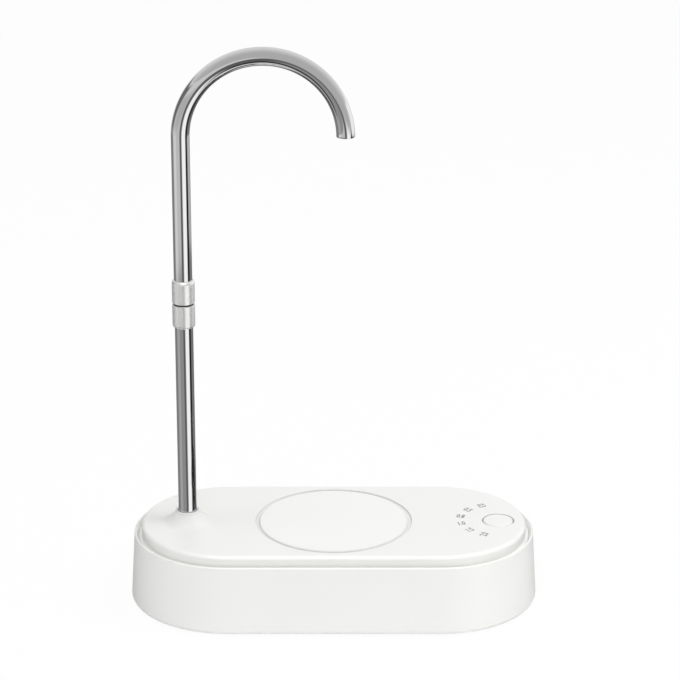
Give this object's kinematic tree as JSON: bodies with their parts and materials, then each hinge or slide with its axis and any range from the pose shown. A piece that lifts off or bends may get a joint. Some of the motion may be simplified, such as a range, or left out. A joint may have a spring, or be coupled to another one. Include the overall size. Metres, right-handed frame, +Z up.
{
  "type": "electric water jug pump",
  "caption": "Table-top water pump: stadium-shaped white base with a cup disc and push button, and a polished gooseneck spout that swivels and draws water from a jug by a hose.",
  "frame": {"origin": "On the table, under the middle of the base.", "axes": "+X runs along the base from the spout to the button, -Y is the front, +Z is up."},
  "size_m": [0.227, 0.11, 0.317],
  "materials": {
    "white_abs": "smooth moulded white",
    "disc_white": "satin white",
    "polished_steel": "mirror polished",
    "satin_collar": "satin plated",
    "screw_steel": "zinc plated",
    "black_rubber": "matt",
    "red_silicone": "matt",
    "clear_silicone": "milky",
    "natural_plastic": "unpainted moulding",
    "dark_plastic": "unpainted moulding",
    "clear_acrylic": "clear",
    "board_green": "solder mask",
    "cell_wrap": "shrink sleeve",
    "lead_cover": "insulation",
    "magnet_iron": "sintered",
    "bush_bronze": "sintered",
    "armature_copper": "varnished winding",
    "adhesive": "foam tape"
  },
  "bodies": {
    "base": {"base_shell": "white_abs", "top_cover": "white_abs", "cup_disc": "disc_white", "case_screws": "screw_steel", "small_screws": "screw_steel", "pump_screws": "screw_steel", "button_spring": "screw_steel", "battery_tabs": "screw_steel", "usb_socket": "screw_steel", "motor_can": "screw_steel", "hose_clips": "screw_steel", "rubber_feet": "black_rubber", "socket_orings": "black_rubber", "diaphragm": "black_rubber", "inlet_seal": "black_rubber", "check_valves": "red_silicone", "inlet_hose": "clear_silicone", "outlet_hose": "clear_silicone", "boss_ring": "clear_silicone", "spout_socket": "natural_plastic", "button_housing": "natural_plastic", "motor_end_cap": "natural_plastic", "valve_plate": "natural_plastic", "pump_head": "natural_plastic", "inlet_fitting": "natural_plastic", "lead_plugs": "natural_plastic", "tact_switch": "dark_plastic", "battery_straps": "dark_plastic", "motor_strap": "dark_plastic", "pump_housing": "dark_plastic", "light_guide": "clear_acrylic", "indicator_leds": "clear_acrylic", "control_board": "board_green", "charge_board": "board_green", "battery_cell": "cell_wrap", "motor_leads": "lead_cover", "battery_leads": "lead_cover", "panel_leads": "lead_cover", "motor_magnets": "magnet_iron", "motor_bushes": "bush_bronze", "disc_adhesive": "adhesive"},
    "spout": {"lower_tube": "polished_steel", "collar_lower": "satin_collar", "collar_core": "screw_steel", "collar_orings": "black_rubber", "collar_washer": "black_rubber", "collar_upper": "satin_collar", "upper_tube": "polished_steel"},
    "button": {"button_cap": "white_abs", "switch_plunger": "dark_plastic"},
    "rotor": {"motor_shaft": "screw_steel", "motor_armature": "armature_copper", "eccentric_wheel": "natural_plastic", "crank_pin": "screw_steel"},
    "rocker": {"rocker": "natural_plastic"}
  },
  "joints": [
    {"name": "spout_swivel", "type": "hinge", "parent": "base", "child": "spout", "pos_m": [-0.0815, 0, 0.045], "axis": [0, 0, 1], "continuous": true},
    {"name": "button_press", "type": "slide", "parent": "base", "child": "button", "axis": [0, 0, -1], "range_m": [0, 0.0008], "stiffness_N_per_m": 500, "springref_m": -0.0006, "deforming": ["button_spring"]},
    {"name": "motor_spin", "type": "hinge", "parent": "base", "child": "rotor", "pos_m": [0, 0.026, 0.019], "axis": [1, 0, 0], "continuous": true},
    {"name": "rocker_nod", "type": "hinge", "parent": "rotor", "child": "rocker", "pos_m": [-0.009, 0.026, 0.019], "axis": [0.9903, 0, 0.1392], "continuous": true}
  ],
  "couplings": [
    {"joint": "rocker_nod", "follows": "motor_spin", "ratio": -1}
  ]
}
